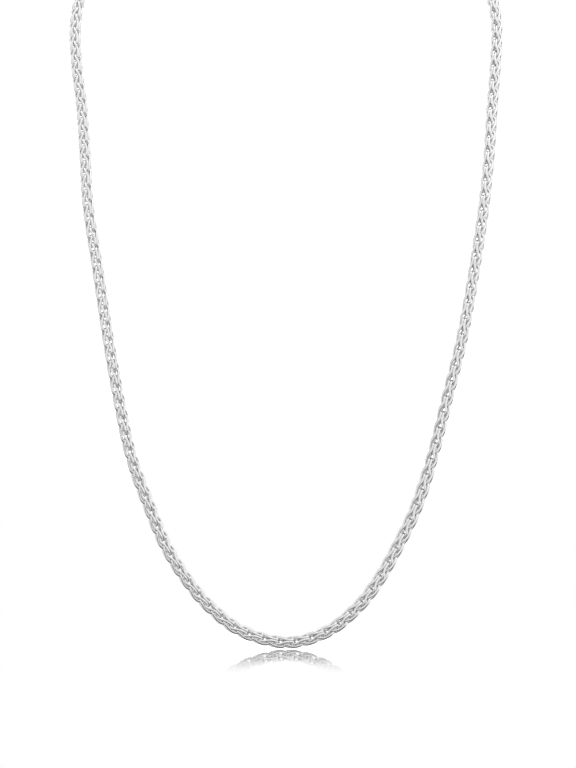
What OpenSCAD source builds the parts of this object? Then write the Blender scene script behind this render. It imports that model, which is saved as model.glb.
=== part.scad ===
// Wheat chain necklace, 508 mm round, hanging in the form that it has when worn.
//
// Two ends of the chain meet in a clasp behind the neck. Each end is held by a soldered
// ring that passes through the last link. The chain itself is far too fine for solid
// links here, so its solid is a smooth tube of the chain's own width along its route.
//
// Millimetres, +Z up. The front of the necklace faces -Y and +X is to the right of
// someone looking at it. The origin lies on the nape of the neck, behind the clasp.

/* [Chain] */
// Width of the chain across its links
chain_w = 3; // [2:0.1:3.6]
// Thickness of the wire in the chain's links
link_wire_d = 0.55; // [0.5:0.05:0.7]
// Width of the last link's eye, measured to the middle of its wire
eye_w = 2.3; // [2:0.1:2.6]

/* [End rings] */
// Thickness of the wire in the end rings
ring_wire_d = 0.8; // [0.6:0.05:0.9]
// Outer diameter of the end rings
ring_od = 4.6; // [4.2:0.1:6]

/* [Clasp] */
// Thickness of the clasp's closed hoop
hoop_t = 1.4; // [1.1:0.1:1.8]
// Outer width of the hoop
hoop_w = 5; // [4.6:0.1:6]
// Outer length of the hoop, along the chain
hoop_l = 8.6; // [7.5:0.1:12]
// Thickness of the small eye at the foot of the hoop
foot_t = 0.9; // [0.7:0.05:1.1]
// Outer diameter of the small eye
foot_od = 3.2; // [3:0.1:3.6]
// Width of the thumb knob on the hoop
knob_w = 1.1; // [0.8:0.1:1.6]
// How far the knob stands out of the hoop
knob_h = 0.6; // [0.3:0.1:1]

/* [Fits] */
// Gap between two pieces where one hangs in the other
hang_gap = 0.15; // [0.1:0.01:0.3]
// Gap between the skin of the nape and the end rings
nape_gap = 0.15; // [0:0.05:1]
// How deep the small eye is sunk in the end of the hoop, where the two are one casting
foot_sink = 0.5; // [0.3:0.05:0.7]

/* [Hidden] */

// Sides of the tube, and rings of it between two points of the route
tube_sides = 8;
rings_per_point = 2;
$fn = 48;

silver = [0.88, 0.88, 0.89];
bright_silver = [0.92, 0.92, 0.93];

// The clasp is centred on the nape, hoop to the right and small eye to the left.
ring_r = (ring_od - ring_wire_d) / 2;
hoop_r = (hoop_w - hoop_t) / 2;
hoop_straight = hoop_l - hoop_w;
foot_r = (foot_od - foot_t) / 2;
eye_r = eye_w / 2;
clasp_l = hoop_l + foot_od - foot_sink;
hoop_mid_x = clasp_l / 2 - hoop_l / 2;
knob_x = hoop_mid_x + hoop_straight / 2 - knob_w;
foot_x = -clasp_l / 2 + foot_od / 2;

// Where a ring hangs in something, its wire lies against the inside with the gap between.
ring_left_x = foot_x - foot_r + foot_t / 2 + hang_gap + ring_wire_d / 2 - ring_r;
ring_right_x = clasp_l / 2 - hoop_t - hang_gap - ring_wire_d / 2 + ring_r;
ring_to_eye = ring_r + eye_r - link_wire_d / 2 - hang_gap - ring_wire_d / 2;
eye_left_x = ring_left_x - ring_to_eye;
eye_right_x = ring_right_x + ring_to_eye;

// The tube starts and ends in the far side of each eye's wire, and runs straight at first.
chain_left_x = eye_left_x - eye_r;
chain_right_x = eye_right_x + eye_r;
lead_l = 6;

// The line of the chain behind the neck stands off the skin by half a ring.
seat_y = nape_gap + ring_od / 2;

// Route of the chain, from its left end down, across the front and up to its right end.
// Columns: x, y, z, from the middle of the clasp.
route = [
    [chain_left_x, 0, 0],
    [chain_left_x - lead_l, -0.5, -0.5],
    [-25.5, -5, -2],
    [-35.5, -11, -7],
    [-43.5, -18, -14.5],
    [-49, -25, -25],
    [-51.5, -31.5, -36.5],
    [-51, -37, -48],
    [-49.5, -41.5, -59],
    [-48.5, -46.5, -71],
    [-47.5, -51, -83.5],
    [-45, -54.5, -99],
    [-42.5, -57, -115],
    [-40, -58, -129],
    [-37, -58, -143],
    [-32.5, -58, -155.5],
    [-28.5, -58, -165],
    [-23.5, -58, -173],
    [-18, -58, -179.5],
    [-10, -58, -185.5],
    [0.5, -58, -188],
    [10, -58, -185.5],
    [17.5, -58, -179.5],
    [22.5, -58, -173],
    [27, -58, -165],
    [31.5, -58, -155.5],
    [35.5, -58, -143],
    [39, -58, -129],
    [42.5, -57, -115],
    [45.5, -54.5, -99],
    [48, -51, -83.5],
    [49.5, -46.5, -71],
    [50.5, -41.5, -59],
    [51.5, -37, -48],
    [52, -31.5, -36.5],
    [49.5, -25, -25],
    [43.5, -18, -14.5],
    [35.5, -11, -7],
    [25.5, -5, -2],
    [chain_right_x + lead_l, -0.5, -0.5],
    [chain_right_x, 0, 0]
];

last = len(route) - 1;

// The point before the first and the point after the last, so that the ends run straight
function route_at(i) =
    i < 0 ? 2 * route[0] - route[1] :
    i > last ? 2 * route[last] - route[last - 1] :
    route[i];

// A smooth curve through all points: position and direction at i + t, t from 0 to 1
function curve(i, t) =
    let (a = route_at(i - 1), b = route_at(i), c = route_at(i + 1), d = route_at(i + 2))
    0.5 * (2 * b + t * (c - a) + pow(t, 2) * (2 * a - 5 * b + 4 * c - d)
        + pow(t, 3) * (3 * b - a - 3 * c + d));
function heading(i, t) =
    let (a = route_at(i - 1), b = route_at(i), c = route_at(i + 1), d = route_at(i + 2))
    let (v = (c - a) + 2 * t * (2 * a - 5 * b + 4 * c - d) + 3 * pow(t, 2) * (3 * b - a - 3 * c + d))
    v / norm(v);
function unit(v) = v / norm(v);

// One ring of the tube round the curve. The curve never runs along Y, so Y turns the ring.
function tube_ring(i, t) =
    let (
        p = curve(i, t),
        h = heading(i, t),
        side = unit(cross(h, [0, 1, 0])),
        up = cross(side, h)
    )
    [for (k = [0:tube_sides - 1])
        let (angle = 360 * (k + 0.5) / tube_sides)
        p + chain_w / 2 * (cos(angle) * side + sin(angle) * up)];

module tube_along_route() {
    steps = last * rings_per_point;
    points = [for (j = [0:steps])
        let (i = min(floor(j / rings_per_point), last - 1))
        each tube_ring(i, j / rings_per_point - i)];
    start_cap = [for (k = [0:tube_sides - 1]) k];
    end_cap = [for (k = [tube_sides - 1:-1:0]) steps * tube_sides + k];
    // Where the tube bends, four corners don't lie in one plane, so each wall is two triangles.
    walls = [for (j = [0:steps - 1], k = [0:tube_sides - 1])
        let (k2 = (k + 1) % tube_sides, a = j * tube_sides, b = a + tube_sides)
        each [[a + k, b + k, b + k2], [a + k, b + k2, a + k2]]];
    polyhedron(points, concat([start_cap], walls, [end_cap]), convexity = 10);
}

// A closed wire ring round the Y axis, or round Z when it lies flat
module wire_ring(centre_r, wire_d) {
    rotate_extrude() translate([centre_r, 0]) circle(d = wire_d);
}

// The last link's eye faces Y, so that an end ring lying flat can pass through it.
module last_link_eye(x) {
    translate([x, 0, 0]) rotate([90, 0, 0]) wire_ring(eye_r, link_wire_d);
}

module wheat_chain() {
    color(silver) translate([0, seat_y, 0]) {
        tube_along_route();
        last_link_eye(eye_left_x);
        last_link_eye(eye_right_x);
    }
}

module end_ring(x) {
    color(bright_silver) translate([x, seat_y, 0]) wire_ring(ring_r, ring_wire_d);
}

module end_ring_left() {
    end_ring(ring_left_x);
}

module end_ring_right() {
    end_ring(ring_right_x);
}

// The hoop is a closed wire: two half rings and two straight sides.
module hoop() {
    for (side = [-1, 1]) {
        translate([side * hoop_straight / 2, 0, 0])
            rotate([90, side * 90, 0])
            rotate_extrude(angle = 180)
            translate([hoop_r, 0]) circle(d = hoop_t);
        translate([-hoop_straight / 2, 0, side * hoop_r])
            rotate([0, 90, 0])
            cylinder(d = hoop_t, h = hoop_straight);
    }
}

module clasp() {
    color(bright_silver) translate([0, seat_y, 0]) {
        translate([hoop_mid_x, 0, 0]) hoop();
        translate([foot_x, 0, 0]) rotate([90, 0, 0]) wire_ring(foot_r, foot_t);
        translate([knob_x, 0, hoop_r])
            cylinder(d = knob_w, h = hoop_t / 2 + knob_h);
    }
}

wheat_chain();
end_ring_left();
end_ring_right();
clasp();
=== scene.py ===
# %% [markdown]
# # A wheat chain necklace
#
# A wheat chain is knitted from hundreds of equal wire rings. Each ring is folded in a U, so
# that it has a waist and two eyes, and the next rings are threaded through them. This script
# works out the shape of one link, repeats it along the necklace, finishes the metal and sets
# the stage. The solids of the frame hold the sizes: the chain's route, its end rings and the
# clasp. Lengths are metres unless a comment says millimetres, +Z is up and the front of the
# necklace faces -Y.

import bpy
import numpy as np
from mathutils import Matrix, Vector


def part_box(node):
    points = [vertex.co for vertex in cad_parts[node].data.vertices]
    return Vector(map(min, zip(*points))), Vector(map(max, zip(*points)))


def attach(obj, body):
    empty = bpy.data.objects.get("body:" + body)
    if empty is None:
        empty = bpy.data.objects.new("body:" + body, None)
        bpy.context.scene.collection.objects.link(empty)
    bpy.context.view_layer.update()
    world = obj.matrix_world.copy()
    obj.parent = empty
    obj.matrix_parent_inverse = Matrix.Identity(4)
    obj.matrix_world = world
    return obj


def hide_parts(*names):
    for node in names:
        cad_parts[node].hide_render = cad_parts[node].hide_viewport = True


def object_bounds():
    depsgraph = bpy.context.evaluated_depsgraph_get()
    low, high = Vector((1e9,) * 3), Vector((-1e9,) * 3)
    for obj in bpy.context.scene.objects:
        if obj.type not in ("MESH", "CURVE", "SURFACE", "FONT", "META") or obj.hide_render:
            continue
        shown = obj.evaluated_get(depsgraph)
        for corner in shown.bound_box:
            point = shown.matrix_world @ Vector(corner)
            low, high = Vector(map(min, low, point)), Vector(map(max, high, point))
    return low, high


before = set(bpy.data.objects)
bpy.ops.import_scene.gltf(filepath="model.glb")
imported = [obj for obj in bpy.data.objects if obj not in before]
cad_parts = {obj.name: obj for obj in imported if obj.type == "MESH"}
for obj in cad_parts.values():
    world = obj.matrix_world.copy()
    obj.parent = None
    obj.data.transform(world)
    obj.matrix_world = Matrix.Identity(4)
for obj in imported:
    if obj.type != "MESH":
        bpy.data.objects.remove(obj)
cad_box = [list(corner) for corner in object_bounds()]
MM = 0.001
print("frame:", sorted(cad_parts), "box", np.round(np.array(cad_box) / MM, 1).tolist())

# %% [markdown]
# ## The camera
#
# The necklace hangs in front of the camera, which looks at it straight and level. A long lens
# from a metre away keeps both strands free of perspective. The camera could be turned and
# zoomed by hand, but it is easier to trust when it is worked out from two measures: the
# picture's height at the chain, and the point of the chain's plane that lies in its middle.

# %% Camera
PICTURE_HEIGHT = 184.2 * MM
PICTURE_MIDDLE = (0.72 * MM, -126.1 * MM)
CAMERA_DISTANCE = 1.0
CHAIN_RADIUS = 1.5 * MM
front_y = cad_box[0][1] + CHAIN_RADIUS

lens = bpy.data.cameras.new("camera")
lens.sensor_width = 36.0
lens.lens = lens.sensor_width * CAMERA_DISTANCE / PICTURE_HEIGHT
lens.clip_end = 20.0
camera = bpy.data.objects.new("camera", lens)
camera.location = (PICTURE_MIDDLE[0], front_y - CAMERA_DISTANCE, PICTURE_MIDDLE[1])
camera.rotation_euler = (np.pi / 2, 0, 0)
bpy.context.scene.collection.objects.link(camera)
bpy.context.scene.camera = camera
print("camera: lens %.0f mm" % lens.lens)

# %% [markdown]
# ## The line that the chain follows
#
# The chain's solid is a plain tube along a smooth route, from the left end ring down, across
# the front and up to the right one. The links follow the same route, so its points are
# repeated here. The curve through them is the same too: a Catmull-Rom spline, which
# passes through every point. At both ends it runs on in a straight line to the end ring.

# %% Route of the chain
def ring_facts(node):
    """Middle, outer radius and wire thickness of an end ring that lies flat, from its box."""
    low, high = (np.array(corner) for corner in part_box(node))
    return (low + high) / 2, (high[0] - low[0]) / 2, high[2] - low[2]


ring_left, ring_outer, ring_wire = ring_facts("end_ring_left")
ring_right, _, _ = ring_facts("end_ring_right")
ring_radius = ring_outer - ring_wire / 2
seat_y = ring_left[1]

# The tube starts in the far side of the eye that hangs on the ring, and runs straight at first.
EYE, EYE_WIRE, GAP, LEAD = 2.3 * MM, 0.55 * MM, 0.15 * MM, 6 * MM
tube_from_ring = ring_radius - ring_wire / 2 - GAP - EYE_WIRE / 2 + EYE
left_x = ring_left[0] - tube_from_ring
right_x = ring_right[0] + tube_from_ring

# Columns: x, y, z in millimetres, from the middle of the clasp
ROUTE = [
    (-25.5, -5, -2), (-35.5, -11, -7), (-43.5, -18, -14.5), (-49, -25, -25),
    (-51.5, -31.5, -36.5), (-51, -37, -48), (-49.5, -41.5, -59), (-48.5, -46.5, -71),
    (-47.5, -51, -83.5), (-45, -54.5, -99), (-42.5, -57, -115), (-40, -58, -129),
    (-37, -58, -143), (-32.5, -58, -155.5), (-28.5, -58, -165), (-23.5, -58, -173),
    (-18, -58, -179.5), (-10, -58, -185.5), (0.5, -58, -188), (10, -58, -185.5),
    (17.5, -58, -179.5), (22.5, -58, -173), (27, -58, -165), (31.5, -58, -155.5),
    (35.5, -58, -143), (39, -58, -129), (42.5, -57, -115), (45.5, -54.5, -99),
    (48, -51, -83.5), (49.5, -46.5, -71), (50.5, -41.5, -59), (51.5, -37, -48),
    (52, -31.5, -36.5), (49.5, -25, -25), (43.5, -18, -14.5), (35.5, -11, -7),
    (25.5, -5, -2),
]
DROP = 0.5 * MM
points = np.vstack([
    (left_x, 0, 0), (left_x - LEAD, -DROP, -DROP), np.array(ROUTE) * MM,
    (right_x + LEAD, -DROP, -DROP), (right_x, 0, 0),
]) + (0, seat_y, 0)


def smooth_curve(points, per_span=60):
    """A Catmull-Rom curve. On each span it is
    half of 2b + t(c-a) + t^2(2a-5b+4c-d) + t^3(3b-a-3c+d)."""
    ends = np.vstack([2 * points[0] - points[1], points, 2 * points[-1] - points[-2]])
    a, b, c, d = (ends[i:len(ends) - 3 + i, None] for i in range(4))
    t = np.linspace(0, 1, per_span, endpoint=False)[None, :, None]
    spans = 0.5 * (2 * b + t * (c - a) + t**2 * (2*a - 5*b + 4*c - d)
                   + t**3 * (3*b - a - 3*c + d))
    return np.vstack([spans.reshape(-1, 3), points[-1:]])


RUN_ON = 5 * MM
curve = smooth_curve(points)
first_heading = (curve[0] - curve[1]) / np.linalg.norm(curve[0] - curve[1])
last_heading = (curve[-1] - curve[-2]) / np.linalg.norm(curve[-1] - curve[-2])
curve = np.vstack([curve[0] + RUN_ON * first_heading, curve, curve[-1] + RUN_ON * last_heading])
arc = np.r_[0, np.cumsum(np.linalg.norm(np.diff(curve, axis=0), axis=1))]
print("route: %.1f mm with its straight ends" % (arc[-1] / MM))

# %% [markdown]
# ## One link
#
# A real link starts as a soldered ring of round wire. It is squeezed flat, folded in a U, and
# its two eyes take the waist of the next link but one, while the next link lies across its
# inside. A person could draw this shape by hand, but the wires would cut into each other
# somewhere. So the ring gets a rough folded start from a formula, and a small solver then
# lets it spring out as wire does: it keeps its length, resists bending, stays inside the
# chain's width, and pushes off its neighbours, which are copies of itself, turned by a
# quarter and moved on by one pitch each. What is left is a shape in which all wires touch
# and none overlap.

# %% Sizes of a link, in millimetres
WIRE = 0.55
PITCH = 1.93
LINK_LENGTH = 24.5
CHAIN_WIDTH = 3.1
STATIONS = 80
# Share of the way from the waist to an eye's tip that is still bent round the fold
FOLD = 0.25


def folded_ring(stations):
    """A flattened ring folded in a U. Along x and z it follows the fold, along y its two wires
    lie side by side: near each other at the waist, where z is 0, and wider apart in the eyes."""
    turn = (np.arange(stations) + 0.5) / stations * 2 * np.pi
    along, across = np.cos(turn), np.sin(turn)
    waist, tip, height = 1.1, 0.55, 2 * PITCH + 0.7
    at_waist, more_in_eyes, widest_at = 0.33, 0.42, 0.73
    up = np.clip((np.abs(along) - FOLD) / (1 - FOLD), 0, 1)
    x = np.sign(along) * np.where(np.abs(along) < FOLD, waist * np.abs(along) / FOLD,
                                  waist + (tip - waist) * up)
    y = (at_waist + more_in_eyes * np.clip(up / widest_at, 0, 1)) * across
    return np.stack([x, y, height * up], 1)


def quarter_turns(k):
    """The matrix that turns a link by k quarters about the chain's axis."""
    c, s = ((1, 0), (0, 1), (-1, 0), (0, -1))[k % 4]
    return np.array([[c, -s, 0], [s, c, 0], [0, 0, 1.0]])


def both_halves_alike(x):
    """The mean of a link and itself turned half round, which keeps its two arms the same."""
    return 0.5 * (x + np.roll(x, len(x) // 2, axis=0) * (-1, -1, 1))


# %% Springs and contacts of the wire
BEND, STRETCH, ENVELOPE = 0.002, 50.0, 20.0
NEIGHBOURS = (1, 2, 3, 4)
# A wire's own stations push each other off only when they are farther apart along it than
# this many thicknesses
OWN_REACH = 2.2
TINY = 1e-12


def wire_energy(flat, wire, push):
    """Energy and its slope. It adds up squares: of the bend at each station, of what each
    stretch is too long or short, of how deep wires sink in each other, and of what leaves the
    chain's width."""
    x = flat.reshape(-1, 3)
    n = len(x)
    h = LINK_LENGTH / n
    bend = np.roll(x, -1, 0) - 2 * x + np.roll(x, 1, 0)
    energy = BEND * (bend**2).sum() / h**3
    pull = 2 * BEND * bend / h**3
    slope = np.roll(pull, 1, 0) - 2 * pull + np.roll(pull, -1, 0)

    edge = np.roll(x, -1, 0) - x
    length = np.linalg.norm(edge, axis=1)
    energy += STRETCH * ((length - h)**2).sum() / h
    pull = (2 * STRETCH * (length - h) / h / length)[:, None] * edge
    slope += np.roll(pull, 1, 0) - pull

    apart = np.abs(np.arange(n)[:, None] - np.arange(n))
    far = np.minimum(apart, n - apart) * h > OWN_REACH * wire
    for k in (0,) + NEIGHBOURS:
        turn = quarter_turns(k)
        gap = x[:, None] - (x @ turn.T + (0, 0, k * PITCH))[None]
        distance = np.sqrt((gap**2).sum(-1)) + TINY
        sunk = np.maximum(0, wire - distance) * (far if k == 0 else 1)
        share = 0.5 if k == 0 else 1.0
        energy += share * push * (sunk**2).sum() * h
        pull = (-2 * share * push * sunk * h / distance)[..., None] * gap
        slope += pull.sum(1) - pull.sum(0) @ turn

    radius = np.hypot(x[:, 0], x[:, 1]) + TINY
    outside = np.maximum(0, radius - (CHAIN_WIDTH - WIRE) / 2)
    energy += ENVELOPE * (outside**2).sum() * h
    slope[:, :2] += (2 * ENVELOPE * outside * h / radius)[:, None] * x[:, :2]
    return energy, both_halves_alike(slope).ravel()


# %% A small solver
LONGEST_STEP, FIRST_STEP = 0.15, 0.01
HALVINGS, WORTH_IT = 12, 1e-4


def settle(energy_of, x, steps, memory=12):
    """Walks downhill. Each step bends the plain slope by the last few steps' changes of slope, so
    that it knows how the valley curves (the L-BFGS method), and is halved until it goes down."""
    energy, slope = energy_of(x)
    moves, changes = [], []
    for _ in range(steps):
        way = slope.copy()
        shares = []
        for move, change in zip(reversed(moves), reversed(changes)):
            share = (move @ way) / (change @ move)
            shares.append(share)
            way -= share * change
        if moves:
            way *= (moves[-1] @ changes[-1]) / (changes[-1] @ changes[-1])
        for move, change, share in zip(moves, changes, reversed(shares)):
            way += move * (share - (change @ way) / (change @ move))
        longest = np.abs(way).max()
        step = min(1.0, (LONGEST_STEP if moves else FIRST_STEP) / longest)
        for _ in range(HALVINGS):
            tried = x - step * way
            tried_energy, tried_slope = energy_of(tried)
            if tried_energy <= energy - WORTH_IT * step * (slope @ way):
                break
            step *= 0.5
        move, change = tried - x, tried_slope - slope
        if move @ change > TINY:
            moves, changes = (moves + [move])[-memory:], (changes + [change])[-memory:]
        x, energy, slope = tried, tried_energy, tried_slope
    return x, energy


# %% Let the link settle, first as thin wire and then at its full thickness
# Columns: thickness of the wire, strength of the push between wires, steps
STAGES = [(0.38, 100, 250), (0.47, 100, 250), (WIRE, 100, 250), (WIRE, 400, 600)]

link = both_halves_alike(folded_ring(STATIONS))
for wire, push, steps in STAGES:
    flat, energy = settle(lambda v: wire_energy(v, wire, push), link.ravel(), steps)
    link = both_halves_alike(flat.reshape(-1, 3))


def nearest(k):
    """The smallest distance between the middle lines of a link and its neighbour k."""
    other = link @ quarter_turns(k).T + (0, 0, k * PITCH)
    return np.sqrt(((link[:, None] - other[None])**2).sum(-1)).min()


link_top, link_foot = link[:, 2].max(), link[:, 2].min()
print("link: energy %.4f, %.2f to %.2f mm along, distances to its neighbours %s mm"
      % (energy, link_foot, link_top, [round(nearest(k), 2) for k in NEIGHBOURS]))

# %% [markdown]
# ## The wire's surface
#
# The settled link is a closed line, and its wire is a tube round it. A curve object with a
# bevel would do that too, but one link is enough here, because the other ones are the same
# surface carried along the route. So the tube is a grid of numbers: stations along the wire by
# sides around it. The fold gives each station a direction that never lies along the wire, and
# that keeps the tube from twisting.

# %% The link as a grid of points
SIDES, MESH_STATIONS = 8, 60


def resampled(x, count):
    """A closed line at another number of stations, through its own sine waves (a Fourier
    series)."""
    waves = np.fft.rfft(x, axis=0)[:count // 2 + 1]
    padded = np.zeros((count // 2 + 1, 3), complex)
    padded[:len(waves)] = waves
    return np.fft.irfft(padded, count, axis=0) * count / len(x)


line = resampled(link, MESH_STATIONS)
tangent = np.roll(line, -1, 0) - np.roll(line, 1, 0)
tangent /= np.linalg.norm(tangent, axis=1)[:, None]
turn = (np.arange(len(line)) + 0.5) / len(line) * 2 * np.pi
lean = np.pi / 2 * np.clip(np.cos(turn) / FOLD, -1, 1)
fold_out = np.stack([np.sin(lean), np.zeros_like(lean), -np.cos(lean)], 1)
outward = fold_out - (fold_out * tangent).sum(1)[:, None] * tangent
outward /= np.linalg.norm(outward, axis=1)[:, None]
sideways = np.cross(tangent, outward)

around = np.arange(SIDES) / SIDES * 2 * np.pi
circle = (np.cos(around)[None, :, None] * outward[:, None]
          + np.sin(around)[None, :, None] * sideways[:, None])
link_grid = line[:, None] + WIRE / 2 * circle
print("link surface:", link_grid.shape[0], "stations by", SIDES, "sides")

# %% [markdown]
# ## Five hundred millimetres of chain
#
# Each link is the same grid. Its length runs along the route, and its width lies across it, in
# a frame that faces the front of the necklace. The waist of every link points on along the
# route, from the left strand down and up the right one. Every link is a quarter turn on from
# the one before, and the whole chain also rolls slowly as it goes, as a hanging chain does.
# Because the map from the straight chain to the bent one is smooth, wires that touch there
# touch here too. An array modifier on a curve would do the same, but it can't roll the chain
# by a table.

# %% Position and directions along the route
heading = np.gradient(curve, axis=0)
heading /= np.linalg.norm(heading, axis=1)[:, None]
TOWARDS_FRONT = np.array([0, -1.0, 0])
inward = np.cross(TOWARDS_FRONT, heading)
inward /= np.linalg.norm(inward, axis=1)[:, None]
forward = np.cross(heading, inward)


def at(table, s):
    """A column of numbers at arc length s, read between the curve's points."""
    return np.stack([np.interp(s, arc, table[:, i]) for i in range(3)], -1)


# Roll of the chain, in degrees, at shares of its whole length
ROLL = [
    (0.00, 0), (0.03, 0), (0.15, -50), (0.30, -55), (0.40, -75), (0.55, -70),
    (0.65, -75), (0.75, -60), (0.80, -60), (0.97, -90), (1.00, -90),
]
BLUR = 21
roll_shares = np.linspace(0, 1, 401)
roll_at = np.interp(roll_shares, *np.array(ROLL, float).T)
blur = np.hanning(BLUR) / np.hanning(BLUR).sum()
roll_at = np.convolve(np.pad(roll_at, BLUR // 2, mode="edge"), blur, mode="valid")

# %% How many links, and where
# The left ring passes through both eyes of the first link, and the right one lies inside the
# fold of the last. A ring curves away beside its middle, so the play that each one leaves there
# is wider where the link's two arms stand farther apart.
PLAY_LEFT, PLAY_RIGHT = 0.27 * MM, 0.13 * MM
touch = ring_wire / 2 + WIRE * MM / 2
left_cross = ring_left + (-ring_radius, 0, 0)
right_cross = ring_right + (ring_radius, 0, 0)
start = np.interp(-left_cross[0], -curve[:3, 0], arc[:3]) - touch - PLAY_LEFT
end = np.interp(-right_cross[0], -curve[-3:, 0], arc[-3:]) + touch + PLAY_RIGHT
span = (end - start) / MM - (link_top - link_foot)
count = 2 * round(span / PITCH / 2) + 1
pitch = span / (count - 1)
print("links:", count, "at a pitch of %.4f mm" % pitch)

# %% Carry the links along the route
def carried(grid, number):
    """Points of link number, from the straight chain to the bent one: length along the route,
    width across it, turned a quarter for each link and by the chain's roll."""
    along = start + (link_top - grid[..., 2] + number * pitch) * MM
    share = (along - start) / (end - start)
    angle = np.pi / 2 * (number + 1) - np.radians(np.interp(share, roll_shares, roll_at))
    c, s = np.cos(angle)[..., None], np.sin(angle)[..., None]
    x, y = grid[..., 0, None] * MM, grid[..., 1, None] * MM
    return (at(curve, along) + (c * x - s * y) * at(inward, along)
            + (s * x + c * y) * at(forward, along))


numbers = np.arange(count)[:, None, None]
all_links = carried(np.broadcast_to(link_grid, (count,) + link_grid.shape), numbers)
print("chain: %d points" % (all_links.size // 3))


# %% [markdown]
# ## From points to meshes
#
# The points go into meshes as whole arrays. A mesh of all links would be a very heavy one, so
# the chain is three pieces, a left, a front and a right one, that are threaded through each
# other. Each corner of a face also gets its place on the wire, in millimetres along and around
# it, so that a finish can follow the wire.

# %% A mesh from rows of tubes
def tube_mesh(name, tubes, length, girth):
    """Closed tubes as one mesh. Tubes is an array of tube, station, side and coordinate, and
    each station's sides are joined to the next one's, all the way round both ways."""
    many, stations, sides, _ = tubes.shape
    station, side = (a.ravel() for a in np.mgrid[0:stations, 0:sides])
    next_station, next_side = (station + 1) % stations, (side + 1) % sides
    corners = [(next_station, side), (next_station, next_side),
               (station, next_side), (station, side)]
    lengthwise = np.stack([station + 1, station + 1, station, station], 1) / stations * length
    crosswise = np.stack([side, side + 1, side + 1, side], 1) / sides * girth
    places = np.stack([lengthwise, crosswise], -1)
    face = np.stack([a * sides + b for a, b in corners], 1)
    faces = (face[None] + (np.arange(many) * stations * sides)[:, None, None]).reshape(-1, 4)

    mesh = bpy.data.meshes.new(name)
    mesh.vertices.add(many * stations * sides)
    mesh.vertices.foreach_set("co", tubes.astype(np.float32).ravel())
    mesh.loops.add(faces.size)
    mesh.loops.foreach_set("vertex_index", faces.astype(np.int32).ravel())
    mesh.polygons.add(len(faces))
    mesh.polygons.foreach_set("loop_start", np.arange(0, faces.size, 4, dtype=np.int32))
    mesh.polygons.foreach_set("use_smooth", np.ones(len(faces), bool))
    mesh.update(calc_edges=True)
    layer = mesh.uv_layers.new(name="wire")
    layer.data.foreach_set("uv", np.tile(places.ravel(), many).astype(np.float32))
    if mesh.validate():
        print("mesh", name, "had faults that were mended")
    piece = bpy.data.objects.new(name, mesh)
    bpy.context.scene.collection.objects.link(piece)
    print("%s: %d tubes, %d triangles" % (name, many, 2 * len(faces)))
    return piece


def point_numbers(piece, name, values):
    """One number for each point of a mesh, which a finish can read by its name."""
    attribute = piece.data.attributes.new(name, "FLOAT", "POINT")
    attribute.data.foreach_set("value", np.asarray(values, np.float32).ravel())


# %% The three pieces of the chain
chance = np.random.default_rng(7)
shade_of_link = chance.uniform(0, 1, count)
outwardness = np.hypot(link_grid[..., 0], link_grid[..., 1]) / (CHAIN_WIDTH / 2)

names = ("chain_links_left", "chain_links_front", "chain_links_right")
chain_pieces = []
for name, part in zip(names, np.array_split(np.arange(count), len(names))):
    piece = tube_mesh(name, all_links[part], LINK_LENGTH, np.pi * WIRE)
    point_numbers(piece, "outwardness", np.tile(outwardness.ravel(), len(part)))
    point_numbers(piece, "shade", np.repeat(shade_of_link[part], outwardness.size))
    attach(piece, "root")
    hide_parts("wheat_chain")
    chain_pieces.append(piece)

# %% [markdown]
# ## Finishes
#
# Blender's materials are graphs of nodes. Written out node by node they are long and hard to
# read, so a small class wraps a node's output: sums and products on it add the Math nodes, and
# one method adds any other node by its type, its settings and its inputs.

# %% A small language for nodes
class Output:
    """One output of a node. Sums and products on it add Math nodes."""

    def __init__(self, graph, socket):
        self.graph, self.socket = graph, socket

    def __add__(self, other):
        return self.graph.math("ADD", self, other)

    def __radd__(self, other):
        return self.graph.math("ADD", other, self)

    def __mul__(self, other):
        return self.graph.math("MULTIPLY", self, other)


class Graph:
    """The nodes of a material or of the world."""

    def __init__(self, owner):
        owner.use_nodes = True
        self.tree = owner.node_tree
        self.tree.nodes.clear()

    def add(self, kind, settings=None, inputs=None, output=0):
        """A node of any kind. Settings are made first, then its inputs get values or links."""
        node = self.tree.nodes.new(kind)
        for name, value in (settings or {}).items():
            setattr(node, name, value)
        for name, value in (inputs or {}).items():
            if isinstance(value, Output):
                self.tree.links.new(value.socket, node.inputs[name])
            else:
                node.inputs[name].default_value = value
        return Output(self, node.outputs[output]) if node.outputs else node

    def math(self, operation, a, b):
        """A Math node on two values or outputs."""
        return self.add("ShaderNodeMath", {"operation": operation}, {0: a, 1: b})

    def ramp(self, factor, stops):
        """A colour ramp with the given stops, each a position and a grey."""
        node = self.add("ShaderNodeValToRGB", None, {"Fac": factor})
        elements = node.socket.node.color_ramp.elements
        while len(elements) < len(stops):
            elements.new(0.5)
        for element, (position, grey) in zip(elements, stops):
            element.position = position
            element.color = (grey, grey, grey, 1)
        return node


# %% [markdown]
# ## Polished silver
#
# The links are drawn silver wire, tumbled until they are bright. On the real chain the wire is
# a mirror with very fine lengthwise lines left over from drawing and a faint, uneven haze. The
# outermost wires get a painted shade that makes them slightly greyer. A metal shader with low
# roughness gives the mirror, and noise that is stretched along the wire the lines. Each link is
# a little rougher or smoother than the next. The rings and the clasp get an even grain.

# %% Silver
HAZE_SCALE, GRAIN_SCALE = 700.0, 2500.0
LINES_ALONG, LINES_AROUND = 0.35, 14.0
# Painted shade: greys that multiply the base colour, from 0.6 of the way out to the outermost
# wires, which darken the outer wires
OUTER_WIRE_PAINTED_SHADE = [(0.6, 1.0), (0.95, 0.9)]


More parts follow.
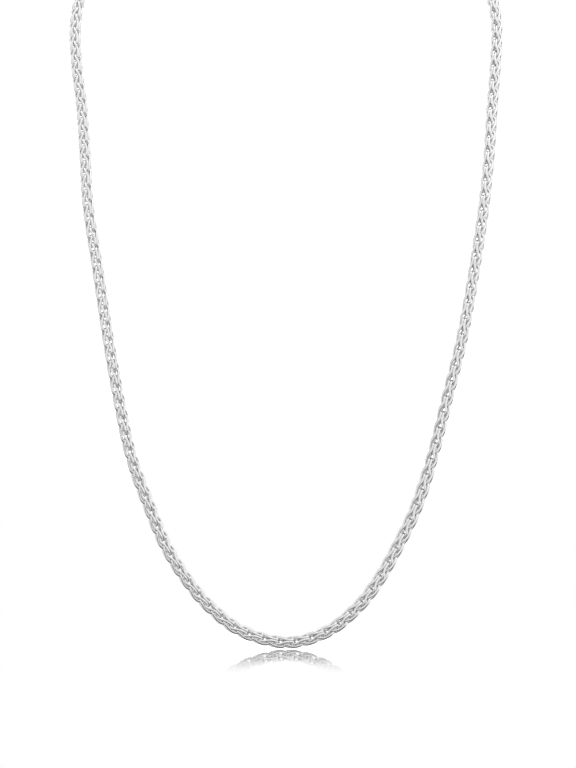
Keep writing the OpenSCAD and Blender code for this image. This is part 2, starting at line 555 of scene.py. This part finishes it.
def silver(name, colour, roughness, follows_wire):
    """Polished silver, with its grain along the wire of a link or even all over a casting."""
    material = bpy.data.materials.new(name)
    graph = Graph(material)
    body = graph.add("ShaderNodeTexCoord", output="Object")
    haze = graph.add("ShaderNodeTexNoise", None,
                     {"Vector": body, "Scale": HAZE_SCALE, "Detail": 3.0})
    if follows_wire:
        place = graph.add("ShaderNodeTexCoord", output="UV")
        stretched = graph.add("ShaderNodeMapping", None,
                              {"Vector": place, "Scale": (LINES_ALONG, LINES_AROUND, 1.0)})
        lines = graph.add("ShaderNodeTexNoise", None,
                          {"Vector": stretched, "Scale": 1.0, "Detail": 2.0})
        outside = graph.add("ShaderNodeAttribute", {"attribute_name": "outwardness"}, output="Fac")
        shade = graph.add("ShaderNodeAttribute", {"attribute_name": "shade"}, output="Fac")
        # The base colour carries the painted shade of the outer wires
        tone = graph.add("ShaderNodeMix", {"data_type": "RGBA", "blend_type": "MULTIPLY"},
                         {0: 1.0, 6: colour + (1,), 7: graph.ramp(outside, OUTER_WIRE_PAINTED_SHADE)}, output=2)
        rough = roughness + haze * 0.05 + shade * 0.03
    else:
        lines = graph.add("ShaderNodeTexNoise", None,
                          {"Vector": body, "Scale": GRAIN_SCALE, "Detail": 2.0})
        duller = tuple(0.93 * c for c in colour)
        tone = graph.add("ShaderNodeMix", {"data_type": "RGBA"},
                         {0: haze, 6: colour + (1,), 7: duller + (1,)}, output=2)
        rough = roughness + haze * 0.06
    bump = graph.add("ShaderNodeBump", None,
                     {"Strength": 0.05, "Distance": 0.02 * MM, "Height": lines})
    shader = graph.add("ShaderNodeBsdfPrincipled", None, {
        "Base Color": tone, "Metallic": 1.0, "Roughness": rough, "Normal": bump,
    })
    graph.add("ShaderNodeOutputMaterial", None, {"Surface": shader})
    return material


chain_silver = silver("polished_chain_silver", (0.98, 0.98, 0.98), 0.08, True)
fitting_silver = silver("polished_fitting_silver", (0.93, 0.93, 0.93), 0.10, False)
for piece in chain_pieces:
    piece.data.materials.append(chain_silver)
for node in ("end_ring_left", "end_ring_right", "clasp"):
    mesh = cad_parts[node].data
    mesh.materials.clear()
    mesh.materials.append(fitting_silver)

# %% [markdown]
# ## The stage
#
# The chain hangs in a white studio, just above a glossy white floor that gives it a faint
# mirror image. Polished metal shows its surroundings and nothing else, so a room that is white
# all round would leave it without any drawing. Photographers of jewellery put dark cards round
# the metal and lay the white ground in afterwards. Here the metal gets the same: it mirrors a
# room that is bright at its sides, greyer in front and above, and dark below and behind. Its
# left side is a little darker than its right. The camera sees pure white instead, and the floor
# is hidden from the metal. The floor's own mirror image fades out round the lowest point of the
# chain, and shows only where it is looked at from a low angle.

# %% Floor
FLOOR_SIZE = 4.0
FLOOR_GAP = 0.15 * MM
# The floor's mirror image fades out over this distance from the point below the chain
FADE = 85 * MM
MIRROR = [(0.0, 0.9), (0.45, 0.72), (0.65, 0.4), (0.85, 0.12), (1.0, 0.0)]
# How much of it is left, from a steep view of the floor to a low one
LOW_VIEW = [(0.55, 0.0), (0.9, 1.0)]

floor_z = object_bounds()[0][2] - FLOOR_GAP
half = FLOOR_SIZE / 2
floor_mesh = bpy.data.meshes.new("floor")
floor_mesh.from_pydata([(-half, -half, floor_z), (half, -half, floor_z),
                        (half, half, floor_z), (-half, half, floor_z)], [], [(0, 1, 2, 3)])
floor = bpy.data.objects.new("floor", floor_mesh)
bpy.context.scene.collection.objects.link(floor)
floor_material = bpy.data.materials.new("glossy_white_floor")
graph = Graph(floor_material)
matt = graph.add("ShaderNodeEmission", None, {"Color": (1, 1, 1, 1), "Strength": 1.0})
gloss = graph.add("ShaderNodeBsdfGlossy", None, {"Color": (1, 1, 1, 1), "Roughness": 0.05})
place = graph.add("ShaderNodeTexCoord", output="Object")
away = graph.add("ShaderNodeVectorMath", {"operation": "DISTANCE"},
                 {0: place, 1: (0, front_y, floor_z)}, output="Value")
graze = graph.add("ShaderNodeLayerWeight", None, {"Blend": 0.5}, output="Facing")
share = graph.ramp(away * (1 / FADE), MIRROR) * graph.ramp(graze, LOW_VIEW)
both = graph.add("ShaderNodeMixShader", None, {0: share, 1: matt, 2: gloss})
graph.add("ShaderNodeOutputMaterial", None, {"Surface": both})
floor_mesh.materials.append(floor_material)
floor.visible_glossy = False

# %% Room
# Greys of the room from its front, where the camera is, over its sides to its back
DEPTH_GREYS = [(0.0, 0.58), (0.25, 0.64), (0.42, 0.95), (0.55, 0.95),
               (0.72, 0.5), (0.86, 0.24), (1.0, 0.2)]
# How much of that is left at each height, from straight down to straight up
HEIGHT_GREYS = [(0.0, 0.12), (0.16, 0.22), (0.34, 0.88), (0.5, 1.0),
                (0.7, 0.93), (0.88, 0.82), (1.0, 0.76)]
# And at each direction sideways, from the left to the right
SIDE_GREYS = [(0.0, 0.68), (0.3, 0.82), (0.55, 1.0), (1.0, 0.88)]
# White wall at the far end, which the floor mirrors
WALL = [(0.975, 0.0), (0.99, 1.0)]
ROOM_STRENGTH = 1.67

world = bpy.data.worlds.new("studio")
bpy.context.scene.world = world
graph = Graph(world)
direction = graph.add("ShaderNodeTexCoord", output="Generated")
parts = graph.add("ShaderNodeSeparateXYZ", None, {"Vector": direction})
sideways, backwards, upwards = (Output(graph, parts.socket.node.outputs[i]) for i in range(3))
grey = (graph.ramp(backwards * 0.5 + 0.5, DEPTH_GREYS)
        * graph.ramp(upwards * 0.5 + 0.5, HEIGHT_GREYS)
        * graph.ramp(sideways * 0.5 + 0.5, SIDE_GREYS))
wall = graph.ramp(backwards, WALL)
camera_ray = graph.add("ShaderNodeLightPath")
white = graph.math("MAXIMUM", wall, camera_ray)
colour = graph.add("ShaderNodeMix", {"data_type": "RGBA"},
                   {0: white, 6: grey, 7: (1, 1, 1, 1)}, output=2)
background = graph.add("ShaderNodeBackground", None, {"Color": colour, "Strength": ROOM_STRENGTH})
graph.add("ShaderNodeOutputWorld", None, {"Surface": background})

# %% Light
LAMP_PLACE = np.array((0.15, -0.45, 0.8))
LAMP_SIZE, LAMP_POWER = 0.5, 0.1

light = bpy.data.lights.new("light_top", "AREA")
light.size, light.energy = LAMP_SIZE, LAMP_POWER
lamp = bpy.data.objects.new("light_top", light)
back = LAMP_PLACE - (0, front_y, PICTURE_MIDDLE[1])
back /= np.linalg.norm(back)
right = np.cross((0, 0, 1.0), back)
right /= np.linalg.norm(right)
up = np.cross(back, right)
lamp.matrix_world = ([(right[i], up[i], back[i], LAMP_PLACE[i]) for i in range(3)]
                     + [(0, 0, 0, 1)])
bpy.context.scene.collection.objects.link(lamp)
bpy.context.scene.view_settings.view_transform = "Standard"
